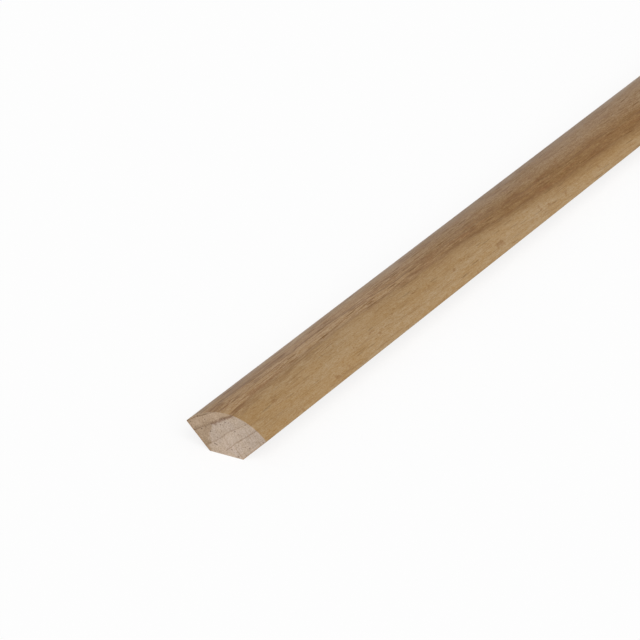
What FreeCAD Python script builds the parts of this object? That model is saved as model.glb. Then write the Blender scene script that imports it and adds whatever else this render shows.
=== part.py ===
import FreeCAD
import Part
import Sketcher
import math
import os

# Quarter round moulding: one stick of hardwood, planed to a quarter-circle section, that covers
# the joint where a floor meets a wall. It has two flats at right angles, one for the floor and
# one for the wall, and a round face struck from the corner where the flats would meet. That
# corner itself is planed off, so that the stick clears whatever fills the joint behind it.
#
# Frame: the stick lies as it rests on a level floor, on its planed-off corner with the round
# face up. X runs along the stick from its middle, Y across it, and Z up from the floor.
# Lengths are in millimetres and angles in degrees.

DRIVING_SIZES = [
    ("stick_length", 1981.2, "length it is sold in, 78 in"),
    ("leg", 19.05, "corner to the edge of each flat, and radius of the round face, 3/4 in"),
    ("relief_leg", 7.94, "length planed off each flat at the corner, 5/16 in"),
    ("corner_angle", 90, "angle between the two flats"),
    ("tip_arris", 0.3, "rounding of the edges between the flats and the round face"),
    ("relief_arris", 0.6, "rounding of the edges between the flats and the planed-off corner"),
]

doc = FreeCAD.newDocument("QuarterRound")

sheet = doc.addObject("Spreadsheet::Sheet", "Sizes")
for row, (alias, value, meaning) in enumerate(DRIVING_SIZES, start=1):
    sheet.set(f"A{row}", alias)
    sheet.set(f"B{row}", str(value))
    sheet.set(f"C{row}", meaning)
    sheet.setAlias(f"B{row}", alias)
doc.recompute()

moulding = doc.addObject("PartDesign::Body", "QuarterRound")
moulding.Label = "quarter_round"
moulding.Placement = FreeCAD.Placement()


# Section across the stick, seen from its far end: sketch x is Y and sketch y is Z. The corner
# is where the flats would meet, straight below the middle of the planed-off corner.
def origin_plane(body, role):
    return next(item for item in body.Origin.OriginFeatures if item.Role == role)


section = moulding.newObject("Sketcher::SketchObject", "Section")
section.AttachmentSupport = [(origin_plane(moulding, "YZ_Plane"), "")]
section.MapMode = "FlatFace"

straight_up = math.pi / 2
half_corner = math.radians(sheet.corner_angle) / 2
along_floor_flat = FreeCAD.Vector(-math.sin(half_corner), math.cos(half_corner), 0)
along_wall_flat = FreeCAD.Vector(math.sin(half_corner), math.cos(half_corner), 0)
corner = FreeCAD.Vector(0, -sheet.relief_leg * math.cos(half_corner), 0)
floor_heel = corner + along_floor_flat * sheet.relief_leg
wall_heel = corner + along_wall_flat * sheet.relief_leg
floor_tip = corner + along_floor_flat * sheet.leg
wall_tip = corner + along_wall_flat * sheet.leg

whole_round = Part.Circle(corner, FreeCAD.Vector(0, 0, 1), sheet.leg)
quarter = Part.ArcOfCircle(whole_round, straight_up - half_corner, straight_up + half_corner)
round_face = section.addGeometry(quarter)
floor_flat = section.addGeometry(Part.LineSegment(floor_tip, floor_heel))
relief = section.addGeometry(Part.LineSegment(floor_heel, wall_heel))
wall_flat = section.addGeometry(Part.LineSegment(wall_heel, wall_tip))

# Point numbers on an edge, and the numbers of the sketch's own axes.
START, END, CENTRE = 1, 2, 3
ACROSS, UP = -1, -2


def fix(*constraint):
    return section.addConstraint(Sketcher.Constraint(*constraint))


def bind(name, expression, *constraint):
    section.renameConstraint(fix(*constraint), name)
    section.setExpression(f".Constraints.{name}", expression)


outline = [round_face, floor_flat, relief, wall_flat]
for edge, next_edge in zip(outline, outline[1:] + outline[:1]):
    fix("Coincident", edge, END, next_edge, START)
fix("PointOnObject", relief, START, ACROSS)
fix("Symmetric", relief, START, relief, END, ACROSS, START)
fix("PointOnObject", round_face, CENTRE, UP)
fix("PointOnObject", round_face, CENTRE, floor_flat)
fix("PointOnObject", round_face, CENTRE, wall_flat)
bind("leg", "Sizes.leg", "Radius", round_face, sheet.leg)
bind("planed_off", "Sizes.relief_leg", "Distance", round_face, CENTRE, relief, END, sheet.relief_leg)
bind(
    "corner",
    "Sizes.corner_angle * 1 deg",
    "Angle",
    wall_flat,
    START,
    floor_flat,
    END,
    2 * half_corner,
)

# The stick: the section run out to both sides of the middle, so both ends are sawn square.
stick = moulding.newObject("PartDesign::Pad", "Stick")
stick.Profile = section
stick.SideType = "Symmetric"
stick.setExpression("Length", "Sizes.stick_length")
doc.recompute()


# Arrises: the four long edges are eased, the two at the round face less than the two that the
# stick lies on. Each pair is picked by its place: the tips stand higher than the relief.
def long_edges(solid, is_wanted):
    names = []
    for number, edge in enumerate(solid.Edges, start=1):
        box = edge.BoundBox
        if box.XLength > box.YLength + box.ZLength and is_wanted(edge.CenterOfMass.z):
            names.append(f"Edge{number}")
    return names


tip_height = floor_tip.y


def is_tip(height):
    return height > tip_height / 2


def is_heel(height):
    return height < tip_height / 2


def ease(name, feature, is_wanted, radius):
    easing = moulding.newObject("PartDesign::Fillet", name)
    easing.Base = (feature, long_edges(feature.Shape, is_wanted))
    easing.setExpression("Radius", radius)
    doc.recompute()
    return easing


eased_tips = ease("EasedTips", stick, is_tip, "Sizes.tip_arris")
eased_relief = ease("EasedRelief", eased_tips, is_heel, "Sizes.relief_arris")
moulding.Tip = eased_relief
doc.recompute()

# The model is written only if every object recomputed and the stick is one valid solid.
for item in doc.Objects:
    failed = {"Invalid", "Error"}.intersection(item.State)
    if failed:
        raise RuntimeError(f"{item.Label} did not recompute: {sorted(failed)}")
if moulding.Shape.isNull() or not moulding.Shape.isValid():
    raise RuntimeError(f"{moulding.Label} has no valid shape")

os.makedirs("parts", exist_ok=True)
moulding.Shape.exportStep(f"parts/{moulding.Label}.step")
size = moulding.Shape.BoundBox
volume_l = moulding.Shape.Volume / 1e6
print(f"{moulding.Label}: {size.XLength:.2f} x {size.YLength:.2f} x {size.ZLength:.2f} mm, {volume_l:.4f} l")
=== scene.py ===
import bmesh
import bpy
import math
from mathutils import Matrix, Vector


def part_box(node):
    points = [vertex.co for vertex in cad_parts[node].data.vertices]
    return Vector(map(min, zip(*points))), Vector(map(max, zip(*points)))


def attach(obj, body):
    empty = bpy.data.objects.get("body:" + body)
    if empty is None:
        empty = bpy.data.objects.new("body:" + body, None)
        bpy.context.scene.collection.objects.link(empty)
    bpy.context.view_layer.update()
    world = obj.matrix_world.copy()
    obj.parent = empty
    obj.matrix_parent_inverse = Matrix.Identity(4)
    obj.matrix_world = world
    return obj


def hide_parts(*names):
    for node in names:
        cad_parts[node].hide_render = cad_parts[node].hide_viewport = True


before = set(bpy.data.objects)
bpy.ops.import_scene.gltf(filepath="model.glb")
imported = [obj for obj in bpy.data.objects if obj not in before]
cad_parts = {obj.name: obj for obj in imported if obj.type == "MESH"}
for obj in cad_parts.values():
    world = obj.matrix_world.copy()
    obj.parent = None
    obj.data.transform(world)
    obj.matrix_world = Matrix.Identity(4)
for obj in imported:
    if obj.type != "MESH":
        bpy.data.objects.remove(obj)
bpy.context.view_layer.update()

# The stick: one length of hardwood, planed to a quarter circle between two flats that meet at
# right angles, with the corner behind planed off. Here it lies on that planed-off corner, round
# face up. Its section is cut from a disc, flat by flat, and then run out to the full length.
MM = 0.001
NODE = "quarter_round"
low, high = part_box(NODE)
near_end, far_end = low.x, high.x
length = far_end - near_end
relief_leg = 7.94 * MM
half_corner = math.radians(45)
corner_z = low.z - relief_leg * math.cos(half_corner)
leg = high.z - corner_z
tip_arris = 0.3 * MM
relief_arris = 0.6 * MM

ROUND_STEPS = 120
ROWS_INWARDS = 60
ROWS_ALONG = 64
ARRIS_PASSES = 3
CUT_TOLERANCE = 0.0001 * MM
SHORTEST_EDGE = 0.02 * MM

corner = Vector((near_end, 0, corner_z))
UP = Vector((0, 0, 1))
TO_FLOOR_TIP = Vector((0, -1, 1)).normalized()
TO_WALL_TIP = Vector((0, 1, 1)).normalized()

bpy.ops.object.select_all(action="DESELECT")
bpy.ops.mesh.primitive_circle_add(
    vertices=4 * ROUND_STEPS,
    radius=leg,
    fill_type="TRIFAN",
    location=corner,
    rotation=(0, math.radians(90), 0),
)
stick = bpy.context.object
stick.name = "quarter_round_stick"
bpy.ops.object.transform_apply(location=True, rotation=True, scale=True)
bpy.ops.object.mode_set(mode="EDIT")


def plane_away(point, direction):
    """Takes off all that lies past a flat cut through point, on the side that direction is on."""
    bpy.ops.mesh.select_all(action="SELECT")
    bpy.ops.mesh.bisect(
        plane_co=point,
        plane_no=direction,
        clear_outer=True,
        threshold=CUT_TOLERANCE,
    )


def select_edges(wanted):
    """Leaves only the edges selected whose two ends wanted() is true of."""
    bpy.ops.mesh.select_mode(type="EDGE")
    bpy.ops.mesh.select_all(action="DESELECT")
    work = bmesh.from_edit_mesh(stick.data)
    for edge in work.edges:
        edge.select_set(wanted(*(end.co for end in edge.verts)))
    bmesh.update_edit_mesh(stick.data)


def is_radial(first, second):
    """True of an edge that runs from near the corner out to the round."""
    reach = abs((first - corner).length - (second - corner).length)
    return reach > leg / 4


def is_along(first, second):
    """True of an edge that runs from one end to the other."""
    return abs(first.x - second.x) > length / 2


def ease(tip, first_out, second_out, radius):
    """Rounds off the edge between two faces that look first_out and second_out, in a few passes."""
    centre = tip - radius * (first_out + second_out) / (1 + first_out.dot(second_out))
    for number in range(ARRIS_PASSES):
        turn = (number + 1) / (ARRIS_PASSES + 1)
        outwards = first_out.slerp(second_out, turn)
        plane_away(centre + radius * outwards, outwards)


floor_flat_out = -TO_WALL_TIP
wall_flat_out = -TO_FLOOR_TIP
plane_away(corner, floor_flat_out)
plane_away(corner, wall_flat_out)
plane_away(low, -UP)
select_edges(is_radial)
bpy.ops.mesh.subdivide(number_cuts=ROWS_INWARDS - 1)
ease(corner + leg * TO_FLOOR_TIP, TO_FLOOR_TIP, floor_flat_out, tip_arris)
ease(corner + leg * TO_WALL_TIP, TO_WALL_TIP, wall_flat_out, tip_arris)
ease(corner + relief_leg * TO_FLOOR_TIP, floor_flat_out, -UP, relief_arris)
ease(corner + relief_leg * TO_WALL_TIP, wall_flat_out, -UP, relief_arris)
bpy.ops.mesh.select_all(action="SELECT")
bpy.ops.mesh.remove_doubles(threshold=SHORTEST_EDGE)
bpy.ops.mesh.select_all(action="SELECT")
bpy.ops.mesh.extrude_region_move(TRANSFORM_OT_translate={"value": (length, 0, 0)})
select_edges(is_along)
bpy.ops.mesh.subdivide(number_cuts=ROWS_ALONG - 1)
bpy.ops.mesh.select_all(action="SELECT")
bpy.ops.mesh.normals_make_consistent(inside=False)
bpy.ops.object.mode_set(mode="OBJECT")

# The wood: a board cut far out from the pith, which lay above, past the wall edge. The pith side
# is brown heartwood, the rest pale sapwood, and thin dark ring lines fan out a little from one
# far point. One description of the growth, in millimetres, serves the sawn ends and the colours.
FAN_ACROSS = -47.3
FAN_UP = 41.4
FAN_REACH = 60
FAN_START = 5.2
FIRST_RING = 25.45
RING_SPACING = 3.83
RING_SEED = 2461
EARLY_RING = 0.22
HEART_EDGE = 28.5
SIDE_HEART = 5.3
DRIFT = 5.5
DRIFT_START = 5
DRIFT_LENGTH = 1047
END_DIP = 0.45
BENDS = 9
PATCH_START = 30
PATCH_LENGTH = 380
PATCH_UNEVENNESS = 350


class Field:
    """What one output of a node holds at each point, so that sums on nodes read as sums."""

    def __init__(self, tree, output=None):
        self.tree = tree
        self.output = output

    def node(self, kind, settings=None, sockets=None, output=0):
        """Adds a node to the same tree: its settings first, then the values or links it takes."""
        added = self.tree.nodes.new(kind)
        for name, setting in (settings or {}).items():
            setattr(added, name, setting)
        for name, given in (sockets or {}).items():
            if isinstance(given, Field):
                self.tree.links.new(given.output, added.inputs[name])
            else:
                added.inputs[name].default_value = given
        return Field(self.tree, added.outputs[output] if added.outputs else None)

    def maths(self, operation, *terms):
        return self.node("ShaderNodeMath", {"operation": operation}, dict(enumerate(terms)))

    def __add__(self, other):
        return self.maths("ADD", self, other)

    def __sub__(self, other):
        return self.maths("SUBTRACT", self, other)

    def __rsub__(self, other):
        return self.maths("SUBTRACT", other, self)

    def __mul__(self, other):
        return self.maths("MULTIPLY", self, other)

    def __truediv__(self, other):
        return self.maths("DIVIDE", self, other)

    def __pow__(self, other):
        return self.maths("POWER", self, other)

    __radd__ = __add__
    __rmul__ = __mul__

    def size(self):
        return self.maths("ABSOLUTE", self)

    def most(self, other):
        return self.maths("MAXIMUM", self, other)

    def rise(self, start, end):
        """0 up to start and 1 from end on, with a smooth climb between; end may be the lower."""
        levels = {"Value": self, "From Min": start, "From Max": end}
        return self.node("ShaderNodeMapRange", {"interpolation_type": "SMOOTHSTEP"}, levels)

    def times(self, shade):
        """This colour, each part of it multiplied by shade."""
        settings = {"data_type": "RGBA", "blend_type": "MULTIPLY"}
        return self.node("ShaderNodeMix", settings, {0: 1, 6: self, 7: shade}, 2)

    def blend(self, first, second):
        """A colour that goes from first to second as this field goes from 0 to 1."""
        return self.node("ShaderNodeMix", {"data_type": "RGBA"}, {0: self, 6: first, 7: second}, 2)


def noise(x, y, z, seed, detail=2):
    """Soft noise from 0 to 1, with one lump to each unit of x, y and z."""
    place = x.node("ShaderNodeCombineXYZ", None, {"X": x + seed, "Y": y, "Z": z})
    return place.node("ShaderNodeTexNoise", None, {"Vector": place, "Scale": 1, "Detail": detail})


def specks(x, y, z, seed):
    """Distance from the nearest of many scattered dots, one in about each unit cube."""
    place = x.node("ShaderNodeCombineXYZ", None, {"X": x + seed, "Y": y, "Z": z})
    return place.node("ShaderNodeTexVoronoi", None, {"Vector": place, "Scale": 1})


class Growth:
    """The wood at each place, in millimetres from the near end and from the middle of the base.

    Its age runs outwards across the rings, and round_tree runs along each ring.
    """

    def __init__(self, place):
        x, y, z = (place.node("ShaderNodeSeparateXYZ", None, {"Vector": place}, axis) for axis in "XYZ")
        self.along = (x - near_end) / MM
        self.across = y / MM
        self.up = (z - low.z) / MM
        aside = self.across - FAN_ACROSS
        below = FAN_UP - self.up
        self.round_tree = (aside * aside + below * below) ** 0.5
        # Each ring runs straight out from the far point, and its age is the arc to it at FAN_REACH.
        fanned = below.maths("ARCTAN2", below, aside) * FAN_REACH
        self.age = fanned - FAN_START - self.drift() + self.wobble()
        self.past_heart = self.age - HEART_EDGE - self.stain()
        ring = (self.age - FIRST_RING) / RING_SPACING
        # The second ring line comes a little early, and the year after it is a wide one.
        ring = ring + EARLY_RING * ring.rise(0, 0.9) * ring.rise(2, 0.9)
        self.part_of_ring = ring.maths("FRACT", ring)
        self.year = ring.maths("FLOOR", ring) + RING_SEED

    def drift(self):
        """How far the rings move along the stick, as the grain runs out of it.

        They swing out and back, dip a little in the first 10 cm, and bend unevenly further on.
        """
        turn = (self.along - DRIFT_START) * (2 * math.pi / DRIFT_LENGTH)
        dip = self.along.rise(0, 12) * self.along.rise(110, 60) * END_DIP
        bends = (noise(self.along / 170, self.across / 60, self.up / 60, 90.9) - 0.5) * BENDS
        return DRIFT * (1 - turn.maths("COSINE", turn)) - dip + bends * self.along.rise(250, 450)

    def wobble(self):
        """The small waves in the rings."""
        slow = noise(self.along / 45, self.across / 16, self.up / 16, 3.1)
        quick = noise(self.along / 9, self.across / 2.5, self.up / 2.5, 21.7)
        return (slow - 0.5) * 1.6 + (quick - 0.5) * 0.7

    def stain(self):
        """How far the brown of the heart reaches past its own ring, which varies on the way."""
        return self.along.rise(110, 220) * 2.4 - self.along.rise(0, 35)

    def heart(self):
        """1 in the brown heartwood and 0 in the sapwood."""
        return self.past_heart.rise(0.2, -0.7).most(self.wall_side())

    def wall_side(self):
        """1 in the strip along the wall flat, which has turned brown too."""
        fuzz = noise(self.along / 30, self.across / 1.5, self.up / 1.5, 8.9)
        return (self.across + fuzz * 3).rise(SIDE_HEART + 1, SIDE_HEART + 2.2)

    def near_edge(self):
        """1 just inside the heart's edge, and 0 from a few millimetres away."""
        return (self.past_heart + 2).size().rise(6, 1)

    def heart_line(self):
        """1 along the stained edge of the heartwood."""
        ragged = noise(self.along / 6, self.round_tree / 0.8, self.age / 0.8, 12.4)
        off_edge = (self.past_heart + 0.2 + (ragged - 0.5) * 1.4).size()
        broken = noise(self.along / 11, self.round_tree / 1.7, self.age / 3, 37.7)
        strength = (0.65 + 0.35 * broken.rise(0.35, 0.6)) * (1 - self.wall_side() * 0.8)
        return off_edge.rise(0.8, 0.2) * strength

    def rim(self):
        """1 in the darker wood along the heart's edge, in long patches with none between."""
        ragged = (noise(self.along / 12, self.round_tree / 2, self.age / 2, 17.3) - 0.5) * 3
        streaky = (self.fibres() - 0.5) * 9
        band = (self.past_heart + ragged + streaky).rise(-9, -3)
        outside = self.past_heart.rise(3.8, -0.8)
        return band * outside * self.long_patches()

    def late_wood(self):
        """Rises to 1 through the later part of each year, up to its ring line."""
        return self.part_of_ring.rise(0.35, 1.0) * self.part_of_ring.rise(1.0, 0.975)

    def ring_line(self):
        """1 on the dark line that ends each year's growth."""
        dark = self.part_of_ring.rise(0.87, 0.96) * self.part_of_ring.rise(1.0, 0.965)
        one_way = {"noise_dimensions": "1D"}
        strength = self.year.node("ShaderNodeTexWhiteNoise", one_way, {"W": self.year})
        broken = noise(self.along / 14, self.round_tree / 5, self.age / 4, 368.6)
        return dark * (0.3 + 0.7 * strength) * broken.rise(0.25, 0.5)

    def tone(self):
        """The slowest change of shade along the stick."""
        return noise(self.along / 60, self.round_tree / 15, self.age / 15, 6263.7, detail=1)

    def long_patches(self):
        """1 in stretches of the stick 10 to 30 cm long, with about as much between them."""
        uneven = noise(self.along / 450, self.across / 90, self.up / 90, 140.3, detail=0) - 0.5
        shift = uneven * self.along.rise(250, 600) * PATCH_UNEVENNESS
        turn = (self.along - PATCH_START + shift) * (2 * math.pi / PATCH_LENGTH)
        return (0.5 - 0.5 * turn.maths("COSINE", turn)).rise(0.1, 0.9)

    def clouds(self):
        """Soft changes of shade, about 2 cm long and half a centimetre wide."""
        return noise(self.along / 22, self.round_tree / 4.5, self.age / 4.5, 4208.4, detail=3)

    def patches(self):
        """Smaller changes of shade, about 1 cm long and 2 mm wide."""
        return noise(self.along / 9, self.round_tree / 1.8, self.age / 1.8, 1805.9)

    def fibres(self):
        """Fine streaks along the grain, 1 to 2 cm long."""
        return noise(self.along / 16, self.round_tree / 0.4, self.age / 0.4, 705.4, detail=3)

    def flecks(self):
        """Fine mottling, a little longer than it is wide."""
        return noise(self.along / 2, self.round_tree / 0.5, self.age / 0.5, 49.3, detail=3)

    def grit(self):
        """The finest grain that can be made out, about a third of a millimetre across."""
        return noise(self.along / 0.5, self.round_tree / 0.3, self.age / 0.3, 27.7, detail=1)

    def pale_specks(self):
        """1 in small light spots, a millimetre long, scattered unevenly."""
        spots = specks(self.along / 2.4, self.round_tree / 1.1, self.age / 1.1, 38.2).rise(0.22, 0.12)
        return spots * self.clouds().rise(0.4, 0.65)

    def dark_streaks(self):
        """1 in dark lines of a few centimetres, most of them near the heart's edge."""
        near_edge = self.near_edge()
        wide = noise(self.along / 25, self.round_tree / 0.9, self.age / 0.45, 741.8, detail=1)
        thin = (self.fibres() + near_edge * 0.08).rise(0.63, 0.72)
        return thin.most((wide + near_edge * 0.14).rise(0.68, 0.8) * 0.85)

    def grain_lines(self):
        """1 in thin wavy lines along the grain, most of them near the heart's edge."""
        waves = noise(self.along / 45, self.round_tree / 1.8, self.age / 1.2, 512.7)
        broken = noise(self.along / 12, self.round_tree, self.age, 77.2, detail=1)
        kept = (broken + self.near_edge() * 0.15).rise(0.52, 0.66)
        return (waves - 0.5).size().rise(0.05, 0.01) * kept

    def rays(self):
        """Thin sheets that run out from the pith: lines on the ends, short dashes on the round."""
        return noise(self.along / 1.6, self.round_tree / 0.3, self.age / 2.6, 31.0, detail=1)

    def wide_rays(self):
        """1 in the few rays thick enough to see one by one."""
        sheets = noise(self.along / 4, self.round_tree / 0.7, self.age / 14, 86.1, detail=1)
        return sheets.rise(0.67, 0.76)

    def vessels(self):
        """1 in the larger pores: pits on the ends, thin dashes along the stick elsewhere."""
        pores = specks(self.along / 16, self.round_tree / 1.3, self.age / 1.3, 66.6).rise(0.24, 0.14)
        return pores * self.patches().rise(0.4, 0.55).most(self.near_edge() * 0.7)

    def short_dashes(self):
        """1 in crisp dashes about 5 mm long, only where the wood has a darker stretch."""
        dashes = specks(self.along / 12, self.round_tree / 0.9, self.age / 0.9, 214.6).rise(0.26, 0.18)
        return dashes * self.clouds().rise(0.45, 0.55) * self.long_patches()

    def cells(self):
        """The ends of the fibres, which show only where the wood is cut across."""
        return noise(self.along / 4, self.round_tree / 0.3, self.age / 0.36, 60.4)

    def arrises(self):
        """1 at the edges of the two flats; the sawn ends are drawn darker along them."""
        from_corner = self.up + (low.z - corner_z) / MM
        off_floor_flat = (from_corner + self.across) * math.sqrt(0.5)
        off_wall_flat = (from_corner - self.across) * math.sqrt(0.5)
        return off_floor_flat.rise(0.7, 0).most(off_wall_flat.rise(0.7, 0))


# The sawn ends: a fine-toothed crosscut blade came down across the stick. It left shallow arcs,
# and the early wood, the rays and the pores stand a few hundredths of a millimetre below the rest.
SAW_RELIEF = 0.05 * MM
END_SKIN = 0.01 * MM
BLADE_ACROSS = 55
BLADE_UP = 150
SMOOTH_UP_TO = math.radians(30)


def saw_arcs(wood):
    """Scoring from 0 to 1, in wide arcs around the middle of the blade."""
    aside = wood.across - BLADE_ACROSS
    above = wood.up - BLADE_UP
    from_blade = (aside * aside + above * above) ** 0.5
    coarse = noise(from_blade / 0.9, wood.across / 40, wood.up / 40, 71.0)
    fine = noise(from_blade / 0.3, wood.across / 25, wood.up / 25, 83.0)
    return coarse * 0.6 + fine * 0.4


def sawn_depth(wood):
    """How far the saw left each place below the highest, from 0 to 1."""
    early = 1 - wood.late_wood().most(wood.ring_line())
    depth = early * 0.2 + (wood.rays() - 0.4) * 0.35 + saw_arcs(wood) * 0.35
    return depth + wood.vessels() * 0.6


relief_tree = bpy.data.node_groups.new("sawn_ends", "GeometryNodeTree")
relief_tree.interface.new_socket("Geometry", in_out="INPUT", socket_type="NodeSocketGeometry")
relief_tree.interface.new_socket("Geometry", in_out="OUTPUT", socket_type="NodeSocketGeometry")
whole = Field(relief_tree).node("NodeGroupInput")
place = whole.node("GeometryNodeInputPosition")
from_middle = place.node("ShaderNodeSeparateXYZ", None, {"Vector": place}, "X")
at_end = from_middle.size().rise(length / 2 - END_SKIN, length / 2 - END_SKIN / 2)
inwards = from_middle.maths("SIGN", from_middle) * at_end * sawn_depth(Growth(place)) * -SAW_RELIEF
shift = inwards.node("ShaderNodeCombineXYZ", None, {"X": inwards})
sawn = whole.node("GeometryNodeSetPosition", None, {"Geometry": whole, "Offset": shift})
whole.node("NodeGroupOutput", None, {"Geometry": sawn})
sawing = stick.modifiers.new("sawn_ends", "NODES")
sawing.node_group = relief_tree
bpy.ops.object.modifier_apply(modifier=sawing.name)
bpy.ops.object.shade_smooth_by_angle(angle=SMOOTH_UP_TO)


# The colours: bare wood on the sawn ends and the planed flats, pale greyish beige with a pinkish
# brown heart. The round face has a clear amber finish, so the same wood looks golden there.
def charted(red, green, blue):
    """A colour as charts give it, in steps from 0 to 255, as the share of light it sends back."""
    shares = (step / 255 for step in (red, green, blue))
    return (*(((share + 0.055) / 1.055) ** 2.4 for share in shares), 1)


SAPWOOD = charted(174, 157, 141)
HEARTWOOD = charted(171, 149, 126)
DARK_HEART = charted(155, 134, 114)
RING_LINE = charted(126, 102, 79)
STAINED_EDGE = charted(122, 94, 74)
DARK_RIM = charted(139, 112, 71)
STREAK = charted(137, 102, 66)
PORE = charted(98, 78, 62)
DARK_GRAIN = charted(106, 68, 24)
COOLER = (0.985, 0.99, 1.01, 1)
WARMER = (1.015, 1.0, 0.965, 1)
# How much of the red, green and blue the finish lets through; nearer the wall edge, where the round
# face is seen at a glancing angle, it is paler and greyer as a painted sheen.
AMBER = (0.785, 0.645, 0.395, 1)
AMBER_ON_HEART = (0.805, 0.67, 0.43, 1)
SHEEN_PAINTED_AMBER = (0.805, 0.7, 0.5, 1)
BARE_ORANGE = 0.2
FINISHED_ORANGE = 1
PLANED_RELIEF = 0.02 * MM
FINISHED_RELIEF = 0.025 * MM


def shaded(colour, shade, orange):
    """The colour at a shade around 1; orange is how far it turns so as it darkens, from 0 to 1."""
    leans = (1 - 0.35 * orange, 1 + 0.05 * orange, 1 + 0.9 * orange)
    dark = (*(1 - 0.5 * lean for lean in leans), 1)
    pale = (*(1 + 0.5 * lean for lean in leans), 1)
    return colour.times((shade - 0.5).blend(dark, pale))


def bare_shade(wood, line_strength):
    """How light the bare wood is at each place, around 1."""
    in_heart = wood.heart()
    wall_side = wood.wall_side()
    long_patches = wood.long_patches()
    past_ring = wood.past_heart.rise(-1, 1)
    shade = 1 - wood.late_wood() * (0.05 + in_heart * 0.06) - wall_side * (0.05 + 0.11 * past_ring)
    shade = shade - wood.past_heart.rise(6, 3) * (1 - in_heart) * 0.05
    shade = shade + (wood.tone() - 0.53) * 0.3 + (wood.clouds() - 0.5) * 0.15
    shade = shade + (0.12 - 0.17 * line_strength - long_patches * 0.11) * in_heart
    shade = shade - long_patches * wall_side * 0.08
    shade = shade + (wood.fibres() - 0.5) * 0.24 + (wood.patches() - 0.5) * 0.26
    return shade + (wood.rays() - 0.5) * 0.12


def bare_colour(wood, line_strength, orange):
    """The wood's own colour; line_strength is how strongly its ring lines show, from 0 to 1."""
    in_heart = wood.heart()
    brown = wood.long_patches().blend(HEARTWOOD, DARK_HEART)
    colour = in_heart.blend(SAPWOOD, brown)
    colour = (wood.rim() * 0.75).blend(colour, DARK_RIM)
    ring_share = 0.75 * line_strength + in_heart * (0.6 - 0.6 * line_strength)
    colour = (wood.ring_line() * ring_share).blend(colour, RING_LINE)
    colour = (wood.heart_line() * (0.15 + 0.6 * line_strength)).blend(colour, STAINED_EDGE)
    streaks = wood.dark_streaks() * (0.45 + in_heart * 0.35) * (1.25 - line_strength)
    colour = streaks.blend(colour, STREAK)
    colour = (wood.wide_rays() * 0.45).blend(colour, STREAK)
    colour = (wood.vessels() * (0.2 + 0.5 * line_strength)).blend(colour, PORE)
    colour = colour.times(wood.clouds().rise(0.7, 0.3).blend(COOLER, WARMER))
    return shaded(colour, bare_shade(wood, line_strength), orange)


def ripple(height, depth):
    """The slope of a surface that stands depth higher where height is 1 than where it is 0."""
    return height.node("ShaderNodeBump", None, {"Distance": depth, "Height": height})


def sawn_end(wood):
    torn = saw_arcs(wood)
    bare = bare_colour(wood, line_strength=1, orange=BARE_ORANGE)
    colour = (wood.arrises() * 0.35).blend(bare, STREAK)
    shade = 0.39 + torn * 0.14 + wood.cells()
    return {
        "Base Color": shaded(colour, shade, orange=BARE_ORANGE),
        "Roughness": 0.78 + torn * 0.15,
        "Normal": ripple(1 - sawn_depth(wood), SAW_RELIEF),
        "Specular IOR Level": 0.3,
    }


def planed_flat(wood):
    fibres = wood.fibres()
    knife = noise(wood.along / 0.7, wood.across / 30, wood.up / 30, 95.0)
    bare = bare_colour(wood, line_strength=0.6, orange=BARE_ORANGE)
    shade = 0.9 + knife * 0.1 + wood.flecks() * 0.1
    height = knife * 0.4 + fibres * 0.6 - wood.vessels()
    return {
        "Base Color": shaded(bare, shade, orange=BARE_ORANGE),
        "Roughness": 0.62 + fibres * 0.2,
        "Normal": ripple(height, PLANED_RELIEF),
        "Specular IOR Level": 0.35,
    }


def finished_round(wood):
    in_heart = wood.heart()
    fibres = wood.fibres()
    flecks = wood.flecks()
    grit = wood.grit()
    vessels = wood.vessels()
    amber = in_heart.blend(AMBER, AMBER_ON_HEART)
    # Toward the wall edge the finish is drawn paler and greyer: a painted sheen.
    amber = wood.across.rise(7, 11).blend(amber, SHEEN_PAINTED_AMBER)
    colour = bare_colour(wood, line_strength=0.25, orange=FINISHED_ORANGE).times(amber)
    mottled = 0.35 + flecks * 0.65 + grit * 0.65 + wood.pale_specks() * 0.18
    streaky = (fibres - 0.5) * 0.25 + (wood.patches() - 0.5) * 0.2 + (flecks + grit - 1) * 0.4
    streaky = streaky * in_heart * (0.8 + 0.8 * wood.long_patches())
    colour = shaded(colour, mottled + streaky, orange=FINISHED_ORANGE)
    lines = wood.grain_lines() * (0.3 + in_heart * 0.3)
    lines = lines + (vessels * 0.75 + wood.short_dashes() * 0.6) * in_heart
    height = fibres * 0.3 + flecks * 0.6 - vessels * 0.5
    return {
        "Base Color": lines.blend(colour, DARK_GRAIN),
        "Roughness": 0.22 + wood.clouds() * 0.35 + flecks * 0.16 + vessels * 0.1,
        "Normal": ripple(height, FINISHED_RELIEF),
        "Specular IOR Level": 0.2,
    }


def lay_on(name, look):
    """Adds one finish to the stick; look takes the wood's growth and gives what the shader takes."""
    material = bpy.data.materials.new(name)
    material.use_nodes = True
    material.node_tree.nodes.clear()
    spot = Field(material.node_tree).node("ShaderNodeTexCoord", output="Object")
    surface = spot.node("ShaderNodeBsdfPrincipled", None, look(Growth(spot)))
    spot.node("ShaderNodeOutputMaterial", None, {"Surface": surface})
    stick.data.materials.append(material)


lay_on("amber_finished_round", finished_round)
lay_on("bare_planed_flats", planed_flat)
lay_on("bare_sawn_ends", sawn_end)
ROUND, FLATS, ENDS = range(3)
LEAST_ENDWAYS = 0.7
LEAST_DOWN = 0.55
for face in stick.data.polygons:
    if abs(face.normal.x) > LEAST_ENDWAYS:
        face.material_index = ENDS
    elif face.normal.z < -LEAST_DOWN:
        face.material_index = FLATS
    else:
        face.material_index = ROUND

# The stick's own map, laid out like a cutting list: its skin is slit down the middle of the
# underside, rolled out flat and cut into four strips, and the two ends lie side by side above.
STRIPS = 4
STRIP_SHARE = 0.2
END_SHARE = 0.19
EDGE = 0.004
STEPS_TO_METRE = 1e7

middle_up = (low.z + high.z) / 2
map_layer = stick.data.uv_layers.new(name="OFBake")
rows_apart = length / ROWS_ALONG


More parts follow.
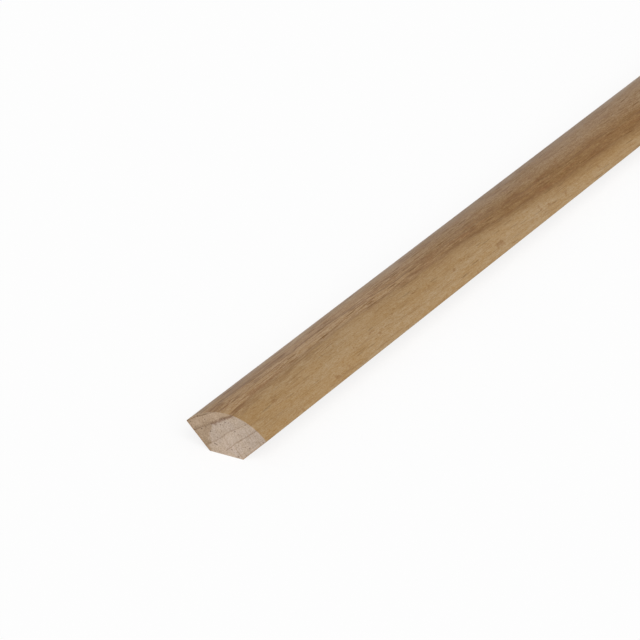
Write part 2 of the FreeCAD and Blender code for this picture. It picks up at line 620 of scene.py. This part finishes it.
def bearing(y, z):
    """Angle of an outline point round the middle of the section, from straight down."""
    return math.atan2(y, middle_up - z) % (2 * math.pi)


def place_key(point):
    """Where a point lies in the section, rounded so that the same place is always the same key."""
    return round(point.y * STEPS_TO_METRE), round(point.z * STEPS_TO_METRE)


middle_row = [v.co for v in stick.data.vertices if abs(v.co.x) < rows_apart / 2]
outline = sorted(middle_row, key=lambda point: bearing(point.y, point.z))
rolled_out = {place_key(outline[0]): 0.0}
for point, next_point in zip(outline, outline[1:]):
    rolled_out[place_key(next_point)] = rolled_out[place_key(point)] + (next_point - point).length
girth = rolled_out[place_key(outline[-1])] + (outline[0] - outline[-1]).length


def on_skin(point, middle):
    """Where a point of the long faces goes on the map; middle is the middle of its own face."""
    strip = min(STRIPS - 1, int((middle.x - near_end) / length * STRIPS))
    part_along = (point.x - near_end) / length * STRIPS - strip
    round_it = rolled_out[place_key(point)]
    if middle.y < 0 and round_it == 0:
        round_it = girth
    down_strip = round_it / girth * (STRIP_SHARE - 2 * EDGE)
    return EDGE + part_along * (1 - 2 * EDGE), (strip + 1) * STRIP_SHARE - EDGE - down_strip


def on_end(point, middle):
    """The same for a point of a sawn end."""
    scale = (END_SHARE - EDGE) / (high.z - low.z)
    up_map = STRIPS * STRIP_SHARE + (point.z - low.z) * scale
    if middle.x < 0:
        return EDGE + (high.y - point.y) * scale, up_map
    return 0.5 + EDGE + (point.y - low.y) * scale, up_map


for face in stick.data.polygons:
    lay_flat = on_end if face.material_index == ENDS else on_skin
    for corner_number in face.loop_indices:
        vertex = stick.data.vertices[stick.data.loops[corner_number].vertex_index]
        map_layer.data[corner_number].uv = lay_flat(vertex.co, face.center)

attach(stick, "root")
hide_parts(NODE)

# The table: a wide white surface that the stick lies on, far larger than any view of it shows.
# It looks plain white to the camera and in reflections, apart from the stick's soft shadow.
TABLE_SIDE = 80
TABLE_WHITE = (0.94, 0.94, 0.94, 1)
PLAIN_WHITE = (1, 1, 1, 1)
GLOW_SHARE = 0.8


def in_view(tree):
    """1 for what the camera sees, straight or in a reflection, and 0 for what only gives light."""
    straight = Field(tree).node("ShaderNodeLightPath", output="Is Camera Ray")
    return straight.most(straight.node("ShaderNodeLightPath", output="Is Glossy Ray"))


bpy.ops.object.select_all(action="DESELECT")
bpy.ops.mesh.primitive_plane_add(size=TABLE_SIDE, location=(0, 0, low.z))
table = bpy.context.object
table.name = "white_table"
table_white = bpy.data.materials.new("white_table")
table_white.use_nodes = True
table_white.node_tree.nodes.clear()
seen = in_view(table_white.node_tree)
lit = seen.node("ShaderNodeBsdfDiffuse", None, {"Color": TABLE_WHITE})
glow = seen.node("ShaderNodeEmission", None, {"Color": PLAIN_WHITE, "Strength": 1})
shown = seen.node("ShaderNodeMixShader", None, {"Fac": seen * GLOW_SHARE, 1: lit, 2: glow})
seen.node("ShaderNodeOutputMaterial", None, {"Surface": shown})
table.data.materials.append(table_white)

# The light: a pale room all round, and one large soft lamp high behind the camera. The room looks
# plain white to the camera and in reflections, but lights the stick with less than that.
ROOM_LIGHT = 0.45
LAMP_LIGHT = 2.6
LAMP_SPREAD = math.radians(50)
LAMP_FROM = Vector((-0.6, -0.5, 0.65))

room = bpy.data.worlds.new("pale_room")
room.use_nodes = True
room.node_tree.nodes.clear()
brightness = ROOM_LIGHT + in_view(room.node_tree) * (1 - ROOM_LIGHT)
walls = brightness.node("ShaderNodeBackground", None, {"Color": PLAIN_WHITE, "Strength": brightness})
walls.node("ShaderNodeOutputWorld", None, {"Surface": walls})
bpy.context.scene.world = room

bpy.ops.object.light_add(type="SUN", rotation=LAMP_FROM.to_track_quat("Z", "Y").to_euler())
lamp = bpy.context.object
lamp.name = "soft_lamp"
lamp.data.energy = LAMP_LIGHT
lamp.data.angle = LAMP_SPREAD

# The camera: a long lens about 1.1 m from the near end, looking down along the stick. It is placed
# by where it has the end's corner, in which the two flats would meet.
LENS_MM = 216.83
FILM_MM = 36
FARTHEST_SEEN = 200
LOOKS_DOWN = math.radians(25.84)
LOOKS_ROUND = math.radians(29.83)
CORNER_LEFT = 26.871 * MM
CORNER_BELOW = 43.929 * MM
CORNER_AHEAD = 1110.189 * MM

ahead = Vector(
    (
        math.cos(LOOKS_DOWN) * math.cos(LOOKS_ROUND),
        math.cos(LOOKS_DOWN) * math.sin(LOOKS_ROUND),
        -math.sin(LOOKS_DOWN),
    )
)
rightwards = ahead.cross(UP).normalized()
downwards = ahead.cross(rightwards)
stand = corner + rightwards * CORNER_LEFT - downwards * CORNER_BELOW - ahead * CORNER_AHEAD
bpy.ops.object.camera_add(location=stand, rotation=ahead.to_track_quat("-Z", "Y").to_euler())
camera = bpy.context.object
camera.data.lens = LENS_MM
camera.data.sensor_width = FILM_MM
camera.data.clip_end = FARTHEST_SEEN
bpy.context.scene.camera = camera
bpy.context.scene.view_settings.view_transform = "Standard"
